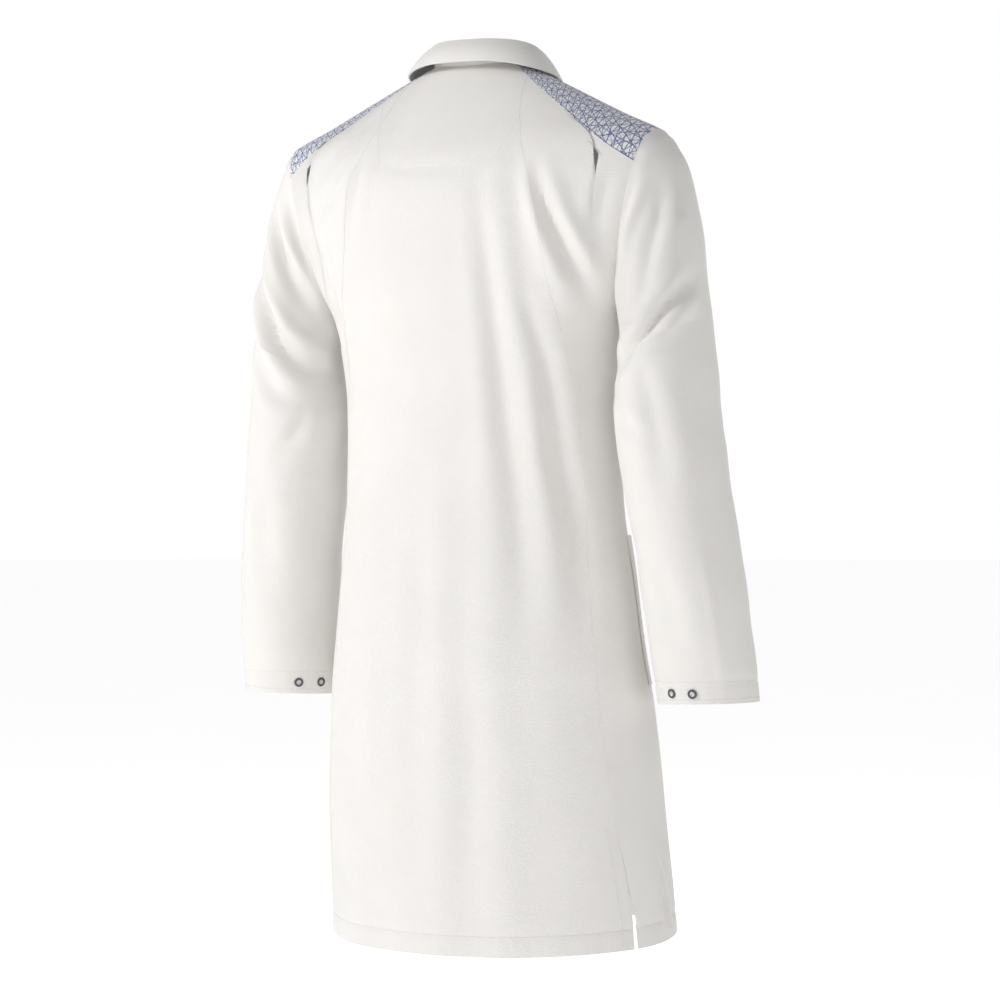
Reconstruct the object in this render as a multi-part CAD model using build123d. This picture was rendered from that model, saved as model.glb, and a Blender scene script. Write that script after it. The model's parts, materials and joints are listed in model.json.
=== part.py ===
from build123d import *
from math import cos, pi, sin, sqrt
import os

# A knee-length lab coat as it hangs on a body. Millimetres, +Z up, origin under the
# centre of the hem. The front faces -Y and the wearer's left side is +X.

# ---- driving dimensions -------------------------------------------------------------
CLOTH = 1.8  # one layer of body cloth
LAYER = 1.2  # one layer of facing, hem turn-up or strip
JOINT_GAP = 1.2  # between cloth pieces that move apart
HEM_HEIGHT = 25.0
HEM_BACK_Z, HEM_SLOPE = 15.5, 0.1  # hem height is HEM_BACK_Z - HEM_SLOPE * y

# Body sections: height, half width, y of the side line, y of the front, y of the back
SECTIONS = [
    (-25, 221, 2, -152, 153),
    (28, 220, 5, -147, 157),
    (171, 215, 22, -120, 163),
    (290, 208, 32, -100, 163),
    (354, 199, 40, -87, 164),
    (440, 189, 45, -73, 161),
    (535, 178, 50, -60, 157),
    (634, 175, 55, -52, 160),
    (700, 181, 56, -56, 165),
    (740, 190, 57, -60, 168),
    (780, 213, 58, -63, 171),
    (820, 232, 59, -63, 172),
    (860, 250, 61, -58, 172),
    (905, 262, 64, -44, 168),
    (930, 263, 64, -34, 160),
    (945, 254, 64, -27, 153),
    (975, 193, 63, -13, 136),
    (1000, 142, 62, 0, 120),
    (1020, 101, 61, 8, 106),
    (1034, 72, 60, 12, 96),
    (1046, 50, 59, 20, 86),
]
SLICE_HEIGHTS = [-25, 28, 100, 171, 230, 290, 354, 440, 535, 634, 670, 700, 722, 740, 760, 780, 800]
SLICE_HEIGHTS += [820, 840, 860, 882, 905, 918, 930, 938, 945, 952, 960, 968, 976, 988, 1000, 1012]
SLICE_HEIGHTS += [1022, 1030, 1036, 1041, 1046]
RING_POINTS = 32

# Neck ring, seen from above
NECK_A, NECK_B, NECK_Y = 68.0, 55.0, 37.0

# Seams on the body
SIDE_BACK_SEAM = [(208, -30), (206, 40), (192, 180), (180, 300), (167, 460), (155, 634), (145, 730),
                  (136, 800), (131, 850), (122, 900), (105, 945), (93, 975), (82, 1015), (78, 1060)]
YOKE_TOP_X, YOKE_TOP_Z, YOKE_SLOPE = 62.0, 1034.0, 0.703
FRONT_BACK_SPLIT_Y = 42.0  # clear of the cloth between the side-back seams at every height
VENT_TOP_Z, VENT_GAP = 145.0, 1.6
FACING_TOP_X, FACING_LOW_X, FACING_LOW_Z = 108.0, 78.0, 917.0

# Armhole: a plane across the shoulder, from the underarm up to the shoulder point
UNDERARM_X, UNDERARM_Z = 190.0, 740.0
ARMHOLE_SLOPE = 0.243  # sideways run per unit of height

# Sleeve sections: inner point (x, z), outer point (x, z), y of the middle, half depth
UPPER_SLEEVE = [
    ((194, 724), (272, 912), 61, 52),
    ((197, 704), (289, 838), 62, 58),
    ((196, 680), (297, 760), 62, 63),
    ((192, 650), (305, 686), 61, 66),
    ((190, 620.6), (311, 620.6), 60, 68),
]
LOWER_SLEEVE = [
    ((190, 619.4), (311, 619.4), 60, 68),
    ((199, 542), (322, 538), 56, 66),
    ((212, 460), (332, 455), 48, 64),
    ((220, 378), (340, 376), 37, 62),
    ((226, 293), (344, 297), 25, 60),
]

# Front closure
OVERLAP = 20.0  # each front passes the centre line by this much
UNDER_DROP = 7.0  # the right front lies this far behind the left one at the centre
LEFT_FOLD = ((-20, -62, 740), (185, -98, 20))  # top and bottom of the left front's fold line
RIGHT_FOLD = ((20, -62, 600), (-185, -98, 20))
FRONT_SNAP_HEIGHTS = [946, 862, 748, 634, 520, 406]
FIRST_MOVING_SOCKET = 3  # the sockets from this one down move with the left front
FIRST_MOVING_STUD = 4  # the studs from this one down move with the right front
SNAP_RADIUS, SNAP_BORE, POST_RADIUS = 6.0, 3.8, 1.6
SOCKET_HEIGHT, POST_HEIGHT, FLANGE = 2.0, 2.2, 0.4
SEAT_GAP = 0.1  # between a snap and the curved cloth that it is pressed onto

# Cuff snaps: ring outside, stud inside; bearings from straight back, + towards the body
CUFF_RING_RADIUS, CUFF_RING_BORE, CUFF_RING_HEIGHT = 5.5, 3.0, 1.1
CUFF_BASE_HEIGHT, CUFF_POST_HEIGHT = 0.8, 2.4
CUFF_SNAP_RISE = 12.5
CUFF_BEARINGS = {"left": (39, 66), "right": (-9, 16)}
CUFF_ROW_STEP = LOWER_SLEEVE[-2][0][1] - LOWER_SLEEVE[-1][0][1]

# Pockets: a hip pocket's middle and its facing direction seen from above, then its outline
POCKET_DEPTH, POCKET_WALL = 9.5, 1.5
HIP_X, HIP_Y, HIP_FACING = 150.0, -30.0, (0.83, -0.56)
HIP_WIDTH, HIP_LOW, HIP_HIGH = 132.0, 312.0, 487.0
CHEST_IN, CHEST_OUT, CHEST_LOW, CHEST_HIGH = 48.0, 150.0, 742.0, 872.0

# Collar. Each row: bearing (90 = centre back), roll height, edge x, y, z
COLLAR = [
    (-88, 990, 48, -42, 926),
    (-72, 995, 66, -31, 941),
    (-52, 1011, 84, -13, 967),
    (-30, 1036, 92, 12, 1003),
    (-8, 1052, 95, 38, 1022),
    (12, 1060, 94, 63, 1027),
    (35, 1065, 80, 87, 1033),
    (62, 1067, 46, 106, 1039),
    (90, 1067, 0, 112, 1040),
]
UNDER_COLLAR = 1.2  # thickness of each collar layer
ROLL_OUT = 4.5  # how far the roll stands out from the stand
STAND_LOW = [955, 958, 971, 995, 1014, 1020, 1024, 1027, 1028]  # stand's lower edge, by row

# Label, hanger loop and slit facings
LABEL_WIDTH, LABEL_LOW, LABEL_HIGH, LABEL_THICK = 52.0, 970.0, 998.0, 0.8
LOOP_HALF, LOOP_SAG, LOOP_Z, LOOP_THICK, LOOP_HEIGHT = 24.0, 17.0, 1040.0, 1.6, 7.0
LOOP_STAND_OFF = 8.0
VENT_FACING_WIDTH, VENT_FACING_RISE = 22.0, 12.0

SLIVER = 20.0  # a cut's leftovers under this many cubic millimetres are dropped
MIDDLE_Y = 12.5  # middle of the coat's depth, moved to y = 0 when the parts are written

os.makedirs("parts", exist_ok=True)


# ---- shape of the body --------------------------------------------------------------
def profile(z):
    """Half width, side line y, front y and back y of the body at height z."""
    z = min(max(z, SECTIONS[0][0]), SECTIONS[-1][0])
    k = max(i for i in range(len(SECTIONS) - 1) if SECTIONS[i][0] <= z)
    low, high = SECTIONS[k], SECTIONS[k + 1]
    t = (z - low[0]) / (high[0] - low[0])
    return [cubic(k, column, t) for column in range(1, 5)]


def slope(k, column):
    """Slope of one column at section k, levelled at every peak and valley."""
    if k in (0, len(SECTIONS) - 1):
        return 0.0
    below, here, above = SECTIONS[k - 1], SECTIONS[k], SECTIONS[k + 1]
    left = (here[column] - below[column]) / (here[0] - below[0])
    right = (above[column] - here[column]) / (above[0] - here[0])
    return 0.0 if left * right <= 0 else 2 * left * right / (left + right)


def cubic(k, column, t):
    low, high = SECTIONS[k], SECTIONS[k + 1]
    step = high[0] - low[0]
    rise = (1 + 2 * t) * (1 - t) ** 2 * low[column] + t * t * (3 - 2 * t) * high[column]
    lean = t * (1 - t) ** 2 * slope(k, column) + t * t * (t - 1) * slope(k + 1, column)
    return rise + lean * step


def front_y(x, z, drop=0.0):
    """y of the front cloth's outer face."""
    a, side, front, _ = profile(z)
    return side - (side - front - drop) * sqrt(max(0.0, 1 - (x / a) ** 2))


def back_y(x, z):
    a, side, _, back = profile(z)
    return side + (back - side) * sqrt(max(0.0, 1 - (x / a) ** 2))


def closed_spline(points):
    steps = [k / len(points) for k in range(len(points) + 1)]
    return Wire([Edge.make_spline(points, periodic=True, parameters=steps)])


def body_ring(z, out, drop):
    a, side, front, back = profile(z)
    points = []
    for k in range(RING_POINTS):
        angle = 2 * pi * k / RING_POINTS
        depth = back - side if sin(angle) > 0 else side - front - drop
        lift = out * 0.67 * min(1.0, max(0.0, (z - 860) / 90))
        points.append(Vector((a + out) * cos(angle), side + (depth + out) * sin(angle), z + lift))
    return closed_spline(points)


def body_form(out=0.0, drop=0.0):
    """The body as one filled form, its cloth's outer face moved out by `out`."""
    return Solid.make_loft([body_ring(z, out, drop) for z in SLICE_HEIGHTS])


def prism_xz(points, y0, y1):
    wire = Wire.make_polygon([Vector(x, y0, z) for x, z in points])
    return Solid.extrude(Face(wire), Vector(0, y1 - y0, 0))


def prism_yz(points, x0, x1):
    wire = Wire.make_polygon([Vector(x0, y, z) for y, z in points])
    return Solid.extrude(Face(wire), Vector(x1 - x0, 0, 0))


def mirror_x(points):
    return [(-x, z) for x, z in points]


def box(x0, x1, y0, y1, z0, z1):
    return Pos((x0 + x1) / 2, (y0 + y1) / 2, (z0 + z1) / 2) * Box(x1 - x0, y1 - y0, z1 - z0)


def solids_of(shape):
    found = shape if isinstance(shape, (list, tuple)) else [shape]
    return [solid for item in found for solid in item.solids() if solid.volume > SLIVER]


def gathered(shape):
    """The solids of a cut's result as one shape."""
    solids = solids_of(shape)
    return solids[0] if len(solids) == 1 else Compound(children=solids)


def common(shape, tool):
    return gathered(shape.intersect(tool))


def less(shape, *tools):
    for tool in tools:
        shape = gathered(shape.cut(tool))
    return shape


# ---- cutting tools ------------------------------------------------------------------
def hem_line(y):
    return HEM_BACK_Z - HEM_SLOPE * y


def hem_cut(rise=0.0):
    """Everything under the hem line raised by `rise`."""
    front, back, floor = -230, 230, -80
    return prism_yz([(front, floor), (back, floor), (back, hem_line(back) + rise),
                     (front, hem_line(front) + rise)], -330, 330)


def neck_cut():
    return Pos(0, NECK_Y, 1010) * extrude(Ellipse(NECK_A, NECK_B), 70, both=True)


def armhole_x(z):
    return UNDERARM_X + (z - UNDERARM_Z) * ARMHOLE_SLOPE


def armhole_cut(side):
    top = 1000
    points = [(UNDERARM_X, UNDERARM_Z), (armhole_x(top), top), (340, top), (340, UNDERARM_Z)]
    return prism_xz(points if side > 0 else mirror_x(points), -200, 300)


def back_region():
    seam = [Vector(x, FRONT_BACK_SPLIT_Y, z) for x, z in SIDE_BACK_SEAM]
    right = [Vector(-p.X, p.Y, p.Z) for p in reversed(seam)]
    edges = [Edge.make_spline(seam), Edge.make_line(seam[-1], right[0])]
    edges += [Edge.make_spline(right), Edge.make_line(right[-1], seam[0])]
    return Solid.extrude(Face(Wire(edges)), Vector(0, 220, 0))


def yoke_region():
    drop = YOKE_SLOPE * (300 - YOKE_TOP_X)
    points = [(YOKE_TOP_X, YOKE_TOP_Z), (300, YOKE_TOP_Z - drop), (300, 1100), (-300, 1100),
              (-300, YOKE_TOP_Z - drop), (-YOKE_TOP_X, YOKE_TOP_Z), (0, YOKE_TOP_Z + YOKE_SLOPE * YOKE_TOP_X)]
    return prism_xz(points, -150, 260)


def side_region(side):
    """The wearer's left (+1) or right (-1) half, with its front overlap."""
    half = box(0, 340, -260, 260, -60, 1100)
    lap = box(-OVERLAP, 0, -260, FRONT_BACK_SPLIT_Y, -60, 1100)
    region = half + lap
    return region if side > 0 else region.mirror(Plane.YZ)


def flap_region(fold, widen=0.0):
    """The part of a front below its slanted fold line, out to its free edge."""
    (top_x, _, top_z), (low_x, _, low_z) = fold
    side = 1 if low_x > 0 else -1
    lean = (low_x - top_x) / (top_z - low_z)
    shift = side * widen * sqrt(1 + lean * lean)
    floor, free_x = -60, top_x - side * 1.0
    peak_z = top_z + (shift + side * 1.0) / lean
    points = [(free_x, peak_z), (top_x + lean * (top_z - floor) + shift, floor), (free_x, floor)]
    return prism_xz(points, -260, FRONT_BACK_SPLIT_Y - 3)


OUTER = body_form()
INNER = body_form(-CLOTH)
LINED = body_form(-CLOTH - LAYER)
UNDER_OUTER = body_form(0, UNDER_DROP)
UNDER_INNER = body_form(-CLOTH, UNDER_DROP)
UNDER_LINED = body_form(-CLOTH - LAYER, UNDER_DROP)
TRIM = [neck_cut(), armhole_cut(1), armhole_cut(-1)]


def trimmed(layer):
    """A body layer with its neck, armholes and hem cut."""
    return less(layer, *TRIM, hem_cut())


PARTS = {}


def keep(name, *shapes):
    """Names a sub-part: one or more separate solids."""
    PARTS[name] = gathered(shapes)
    PARTS[name].label = name


# ---- body panels --------------------------------------------------------------------
cloth = trimmed(less(OUTER, INNER))
under_cloth = trimmed(less(UNDER_OUTER, UNDER_INNER))
lining = trimmed(less(INNER, LINED))
under_lining = trimmed(less(UNDER_INNER, UNDER_LINED))
back, yoke = back_region(), yoke_region()


def vent_slot(side):
    """A narrow slot along the side-back seam, open at the hem."""
    seam = [(x, z) for x, z in SIDE_BACK_SEAM if z <= 180]
    top = seam[-2][0] + (seam[-1][0] - seam[-2][0]) * (VENT_TOP_Z - seam[-2][1]) / (seam[-1][1] - seam[-2][1])
    line = seam[:-1] + [(top, VENT_TOP_Z)]
    edge = [(x + VENT_GAP / 2, z) for x, z in line] + [(x - VENT_GAP / 2, z) for x, z in reversed(line)]
    return prism_xz(edge if side > 0 else mirror_x(edge), FRONT_BACK_SPLIT_Y, 200)


def side_cloth(source, side):
    return less(common(source, side_region(side)), back, yoke, vent_slot(side))


def front_pieces(source, side, fold):
    """The fixed and the folding part of one front layer."""
    whole = side_cloth(source, side)
    return less(whole, flap_region(fold, JOINT_GAP)), common(whole, flap_region(fold))


keep("back_center_panel", less(common(cloth, back), yoke, vent_slot(1), vent_slot(-1)))
left_fixed, left_flap = front_pieces(cloth, 1, LEFT_FOLD)
right_fixed, right_flap = front_pieces(under_cloth, -1, RIGHT_FOLD)
keep("left_front_panel", left_fixed)
keep("right_front_panel", right_fixed)
keep("left_front_flap", left_flap)
keep("right_front_flap", right_flap)
keep("left_shoulder_yoke", common(common(cloth, yoke), box(0, 300, -200, 300, 900, 1100)))
keep("right_shoulder_yoke", common(common(under_cloth, yoke), box(-300, 0, -200, 300, 900, 1100)))

# ---- hem turn-ups, vent facings, back facing, label -----------------------------------
hem_band = hem_cut(HEM_HEIGHT)
left_hem, left_flap_hem = front_pieces(common(lining, hem_band), 1, LEFT_FOLD)
right_hem, right_flap_hem = front_pieces(common(under_lining, hem_band), -1, RIGHT_FOLD)


def vent_facing(source, side, toward):
    """A strip behind one edge of the slit, on the back (-1) or the side (+1) of it."""
    line = [(x + toward * VENT_GAP / 2, z) for x, z in SIDE_BACK_SEAM if z <= 180]
    far = [(x + toward * VENT_FACING_WIDTH, z) for x, z in reversed(line)]
    region = prism_xz(line + far if side > 0 else mirror_x(line + far), FRONT_BACK_SPLIT_Y, 200)
    strip = less(common(source, region), hem_band, vent_slot(side))
    return common(strip, box(-330, 330, 0, 300, 0, VENT_TOP_Z + VENT_FACING_RISE))


left_half = box(0, 330, FRONT_BACK_SPLIT_Y - 300, 300, -60, 200)
keep("back_hem_turnup", less(common(common(lining, hem_band), back), vent_slot(1), vent_slot(-1)))
keep("left_hem_turnup", common(left_hem, left_half))
keep("right_hem_turnup", common(right_hem, left_half.mirror(Plane.YZ)))
keep("left_flap_hem_turnup", left_flap_hem)
keep("right_flap_hem_turnup", right_flap_hem)
keep("left_vent_facings", vent_facing(lining, 1, -1), vent_facing(lining, 1, 1))
keep("right_vent_facings", vent_facing(lining, -1, -1), vent_facing(under_lining, -1, 1))

facing_region = prism_xz([(-FACING_LOW_X, FACING_LOW_Z), (FACING_LOW_X, FACING_LOW_Z), (FACING_TOP_X, 1001),
                          (YOKE_TOP_X, YOKE_TOP_Z), (YOKE_TOP_X, 1090), (-YOKE_TOP_X, 1090),
                          (-YOKE_TOP_X, YOKE_TOP_Z), (-FACING_TOP_X, 1001)], 60, 240)
keep("back_neck_facing", common(lining, facing_region))
label_layer = less(LINED, body_form(-CLOTH - LAYER - LABEL_THICK))
label = common(label_layer, box(-LABEL_WIDTH / 2, LABEL_WIDTH / 2, 70, 240, LABEL_LOW, LABEL_HIGH))
keep("neck_label", label)


# ---- collar --------------------------------------------------------------------------
def neck_point(angle, out):
    return (NECK_A + out) * cos(angle), NECK_Y + (NECK_B + out) * sin(angle)


def collar_section(row, side, first, last):
    """A slice of the collar between two depths under its outer face."""
    bearing, roll_z, edge_x, edge_y, edge_z = row
    angle = bearing * pi / 180
    roll_x, roll_y = neck_point(angle, ROLL_OUT)
    run, fall = sqrt((edge_x - roll_x) ** 2 + (edge_y - roll_y) ** 2), roll_z - edge_z
    length = sqrt(run * run + fall * fall)
    back_in = Vector((roll_x - edge_x) / max(run, 1), (roll_y - edge_y) / max(run, 1), 0) * (fall / length)
    inward = back_in + Vector(0, 0, -run / length)
    roll, edge = Vector(roll_x, roll_y, roll_z), Vector(edge_x, edge_y, edge_z)
    corners = [roll + inward * first, edge + inward * first, edge + inward * last, roll + inward * last]
    return Wire.make_polygon([Vector(side * p.X, p.Y, p.Z) for p in corners])


def collar_layer(first, last):
    right_side = [collar_section(row, -1, first, last) for row in COLLAR[:-1]]
    left_side = [collar_section(row, 1, first, last) for row in reversed(COLLAR[:-1])]
    return Solid.make_loft(right_side + [collar_section(COLLAR[-1], 1, first, last)] + left_side)


def stand_band(inner, outer, top_drop):
    """A band around the neck between two depths inside the neck ring."""
    wall = extrude(Ellipse(NECK_A - inner, NECK_B - inner) - Ellipse(NECK_A - outer, NECK_B - outer), 170)
    wall = Pos(0, NECK_Y, 930) * wall
    roll = [(neck_point(row[0] * pi / 180, 0)[1], row[1] - top_drop) for row in COLLAR]
    low = [(neck_point(row[0] * pi / 180, 0)[1], z) for row, z in zip(COLLAR, STAND_LOW)]
    outline = [(roll[0][0] - 20, roll[0][1])] + roll + [(roll[-1][0] + 20, roll[-1][1])]
    outline += [(low[-1][0] + 20, low[-1][1])] + low[::-1] + [(low[0][0] - 20, low[0][1])]
    band = common(wall, prism_yz(outline, -120, 120))
    return less(band, box(-0.8, 0.8, -60, NECK_Y, 900, 1100))


keep("collar_fall", collar_layer(0, UNDER_COLLAR))
keep("under_collar", collar_layer(UNDER_COLLAR, 2 * UNDER_COLLAR))
keep("collar_stand", stand_band(0, CLOTH, 1.0))
keep("inner_collar_stand", stand_band(CLOTH, CLOTH + LAYER, 1.0))


def hanger_loop():
    slices = []
    wall_y = NECK_Y + (NECK_B - CLOTH - LAYER) * sqrt(1 - (LOOP_HALF / (NECK_A - CLOTH - LAYER)) ** 2)
    for k in range(9):
        u = -1 + k / 4
        x, z = LOOP_HALF * u, LOOP_Z - LOOP_SAG * (1 - u * u)
        y = wall_y - LOOP_STAND_OFF * (1 - u ** 4)
        corners = [(y, z), (y - LOOP_THICK, z), (y - LOOP_THICK, z + LOOP_HEIGHT), (y, z + LOOP_HEIGHT)]
        slices.append(Wire.make_polygon([Vector(x, cy, cz) for cy, cz in corners]))
    return Solid.make_loft(slices)


keep("hanger_loop", hanger_loop())


# ---- front closure --------------------------------------------------------------------
def fly_strip(source):
    strip = common(source, box(-OVERLAP, OVERLAP - 2, -260, FRONT_BACK_SPLIT_Y, -60, 1100))
    return less(strip, hem_band)


fly = fly_strip(lining)
under_fly = fly_strip(under_lining)
keep("upper_fly", less(fly, flap_region(LEFT_FOLD, JOINT_GAP)))
keep("lower_fly", common(fly, flap_region(LEFT_FOLD)))
keep("upper_front_facing", less(under_fly, flap_region(RIGHT_FOLD, JOINT_GAP)))
keep("lower_front_facing", common(under_fly, flap_region(RIGHT_FOLD)))


def frame_on(form, start, direction, lift):
    """A plane where a line from inside leaves the form, facing out, `lift` off its face."""
    line = Axis(start, direction)
    hits = [hit for face in form.faces() for hit in face.find_intersection_points(line)]
    point, normal = max(hits, key=lambda hit: (hit[0] - line.position).dot(line.direction))
    if normal.dot(line.direction) < 0:
        normal = normal * -1
    return Plane(origin=point + normal * lift, z_dir=normal)


def snap_socket(z):
    ring = Cylinder(SNAP_RADIUS, SOCKET_HEIGHT) - Cylinder(SNAP_BORE, SOCKET_HEIGHT)
    ring = fillet(ring.edges().filter_by(GeomType.CIRCLE), 0.35)
    return frame_on(LINED, (0, NECK_Y, z), (0, -1, 0), -SEAT_GAP - SOCKET_HEIGHT / 2) * ring


def snap_stud(z):
    base = Cylinder(SNAP_RADIUS - 0.5, FLANGE)
    post = Pos(0, 0, (FLANGE + POST_HEIGHT) / 2) * Cylinder(POST_RADIUS, POST_HEIGHT)
    return frame_on(UNDER_OUTER, (0, NECK_Y, z), (0, -1, 0), SEAT_GAP + FLANGE / 2) * (base + post)


sockets = [snap_socket(z) for z in FRONT_SNAP_HEIGHTS]
studs = [snap_stud(z) for z in FRONT_SNAP_HEIGHTS]
keep("upper_snap_sockets", *sockets[:FIRST_MOVING_SOCKET])
keep("lower_snap_sockets", *sockets[FIRST_MOVING_SOCKET:])
keep("upper_snap_studs", *studs[:FIRST_MOVING_STUD])
keep("lower_snap_studs", *studs[FIRST_MOVING_STUD:])


# ---- pockets ---------------------------------------------------------------------------
def patch_pocket(surface, drop, region_at):
    """A patch pocket: a skin held off the front by its side and bottom walls."""
    skin = common(less(body_form(POCKET_DEPTH, drop), surface), region_at(0, 0))
    room = common(body_form(POCKET_DEPTH - POCKET_WALL, drop), region_at(POCKET_WALL, 20))
    return less(skin, room)


def side_pocket_region(side):
    """The hip pocket's outline, seen square to the side front."""
    def region_at(inset, rise):
        out_x, out_y = HIP_FACING
        frame = Plane(origin=(HIP_X, HIP_Y, 0), x_dir=(-out_y, out_x, 0), z_dir=(out_x, out_y, 0))
        x0, x1 = -HIP_WIDTH / 2 + inset, HIP_WIDTH / 2 - inset
        z0, z1 = HIP_LOW + inset, HIP_HIGH + rise
        corners = [(x0, z0), (x1, z0), (x1, z1), (x0, z1)]
        wire = Wire.make_polygon([frame.from_local_coords(Vector(x, z, -60)) for x, z in corners])
        solid = Solid.extrude(Face(wire), frame.z_dir * 160)
        return solid if side > 0 else solid.mirror(Plane.YZ)
    return region_at


def chest_pocket_region(inset, rise):
    return box(CHEST_IN + inset, CHEST_OUT - inset, -120, 20, CHEST_LOW + inset, CHEST_HIGH + rise)


keep("left_hip_pocket", patch_pocket(OUTER, 0, side_pocket_region(1)))
keep("right_hip_pocket", patch_pocket(UNDER_OUTER, UNDER_DROP, side_pocket_region(-1)))
keep("chest_pocket", patch_pocket(OUTER, 0, chest_pocket_region))


# ---- sleeves ---------------------------------------------------------------------------
def shoulder_height():
    """Where the ridge of the shoulder meets the armhole plane."""
    low, high = 900.0, 1000.0
    for _ in range(40):
        middle = (low + high) / 2
        if profile(middle)[0] > armhole_x(middle):
            low = middle
        else:
            high = middle
    return low


def armhole_section():
    """The body's own outline in the armhole plane, one joint gap outside it."""
    points = []
    top = shoulder_height()
    middle, half = (UNDERARM_Z + top) / 2, (top - UNDERARM_Z) / 2
    for k in range(RING_POINTS):
        angle = 2 * pi * k / RING_POINTS
        z = middle - half * cos(angle)
        x = armhole_x(z)
        y = back_y(x, z) if sin(angle) > 0 else front_y(x, z)
        points.append(Vector(x + JOINT_GAP, y, z - JOINT_GAP * ARMHOLE_SLOPE))
    return points


def oval_section(row):
    (x0, z0), (x1, z1), y, depth = row
    points = []
    for k in range(RING_POINTS):
        angle = 2 * pi * k / RING_POINTS
        across = (1 - cos(angle)) / 2
        points.append(Vector(x0 + (x1 - x0) * across, y + depth * sin(angle), z0 + (z1 - z0) * across))
    return points


def inset(points, depth):
    """The same ring with every point moved inwards in its own plane."""
    middle = sum(points, Vector()) / len(points)
    square = (points[0] - middle).cross(points[RING_POINTS // 4] - middle).normalized()
    moved = []
    for k, point in enumerate(points):
        along = (points[(k + 1) % RING_POINTS] - points[k - 1]).normalized()
        moved.append(point + square.cross(along).normalized() * depth)
    return moved


def filled_tube(rings, depth):
    """The filled form inside the rings, lofted in short runs of sections."""
    wires = [closed_spline(inset(ring, depth)) for ring in rings]
    runs = [wires[k:k + 4] for k in range(0, len(wires) - 1, 3)]
    return gathered(Solid.make_loft(runs[0]) + [Solid.make_loft(run) for run in runs[1:]])


def tube(rings, outside, inside):
    return less(filled_tube(rings, outside), filled_tube(rings, inside))


def sided(shape, side):
    return shape if side == "left" else shape.mirror(Plane.YZ)


def cuff_frame(form, bearing, lift):
    """A plane on the sleeve form near the cuff, at a bearing from straight back."""
    (x0, z0), (x1, z1), y, _ = LOWER_SLEEVE[-1]
    angle = bearing * pi / 180
    start = ((x0 + x1) / 2, y, (z0 + z1) / 2 + CUFF_SNAP_RISE)
    return frame_on(form, start, (-sin(angle), cos(angle), 0), lift)


def cuff_ring(form, bearing):
    ring = Cylinder(CUFF_RING_RADIUS, CUFF_RING_HEIGHT) - Cylinder(CUFF_RING_BORE, CUFF_RING_HEIGHT)
    ring = fillet(ring.edges().filter_by(GeomType.CIRCLE), 0.4)
    return cuff_frame(form, bearing, SEAT_GAP + CUFF_RING_HEIGHT / 2) * ring


def cuff_stud(form, bearing):
    base = Cylinder(CUFF_RING_RADIUS, CUFF_BASE_HEIGHT)
    post = Pos(0, 0, -(CUFF_BASE_HEIGHT + CUFF_POST_HEIGHT) / 2) * Cylinder(POST_RADIUS, CUFF_POST_HEIGHT)
    return cuff_frame(form, bearing, -4 * SEAT_GAP - CUFF_BASE_HEIGHT / 2) * (base + post)


def between(low, high, t):
    """A sleeve section part of the way from one row to the next."""
    ends = [tuple(p + (q - p) * t for p, q in zip(low[k], high[k])) for k in (0, 1)]
    return ends[0], ends[1], low[2] + (high[2] - low[2]) * t, low[3] + (high[3] - low[3]) * t


def build_sleeves():
    upper = [armhole_section()] + [oval_section(row) for row in UPPER_SLEEVE]
    lower = [oval_section(row) for row in LOWER_SLEEVE]
    hem_top = between(LOWER_SLEEVE[-1], LOWER_SLEEVE[-2], HEM_HEIGHT / CUFF_ROW_STEP)
    hem = [oval_section(hem_top), oval_section(LOWER_SLEEVE[-1])]
    outside, inside = filled_tube(lower, 0), filled_tube(lower, CLOTH + LAYER)
    for side in ("left", "right"):
        keep(side + "_upper_sleeve", sided(tube(upper, 0, CLOTH), side))
        keep(side + "_lower_sleeve", sided(tube(lower, 0, CLOTH), side))
        keep(side + "_cuff_turnup", sided(tube(hem, CLOTH + 0.1, CLOTH + LAYER), side))
        bearings = CUFF_BEARINGS[side]
        keep(side + "_cuff_rings", *[sided(cuff_ring(outside, b), side) for b in bearings])
        keep(side + "_cuff_studs", *[sided(cuff_stud(inside, b), side) for b in bearings])


build_sleeves()

for name, shape in PARTS.items():
    export_step(Pos(0, -MIDDLE_Y, 0) * shape, f"parts/{name}.step")
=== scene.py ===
import bpy
import json
import math
import numpy as np
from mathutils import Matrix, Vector

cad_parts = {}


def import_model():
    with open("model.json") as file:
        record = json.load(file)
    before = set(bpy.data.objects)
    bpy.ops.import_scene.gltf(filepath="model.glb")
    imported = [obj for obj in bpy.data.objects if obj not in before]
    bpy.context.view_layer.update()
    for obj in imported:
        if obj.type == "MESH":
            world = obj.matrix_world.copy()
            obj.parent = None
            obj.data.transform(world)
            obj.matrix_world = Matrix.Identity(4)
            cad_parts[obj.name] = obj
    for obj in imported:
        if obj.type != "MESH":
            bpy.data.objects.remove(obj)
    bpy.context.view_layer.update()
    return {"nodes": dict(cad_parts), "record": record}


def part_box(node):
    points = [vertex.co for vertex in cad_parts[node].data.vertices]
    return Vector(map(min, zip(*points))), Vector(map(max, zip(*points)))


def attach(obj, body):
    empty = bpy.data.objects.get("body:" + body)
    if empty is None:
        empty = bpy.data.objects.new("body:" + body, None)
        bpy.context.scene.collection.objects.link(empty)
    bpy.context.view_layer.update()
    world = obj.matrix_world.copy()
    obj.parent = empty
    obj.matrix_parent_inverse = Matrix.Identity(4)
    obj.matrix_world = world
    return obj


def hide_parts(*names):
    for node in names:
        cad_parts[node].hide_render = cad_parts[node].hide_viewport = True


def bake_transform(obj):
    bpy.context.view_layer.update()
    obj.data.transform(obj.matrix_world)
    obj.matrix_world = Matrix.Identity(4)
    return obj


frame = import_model()

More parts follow.
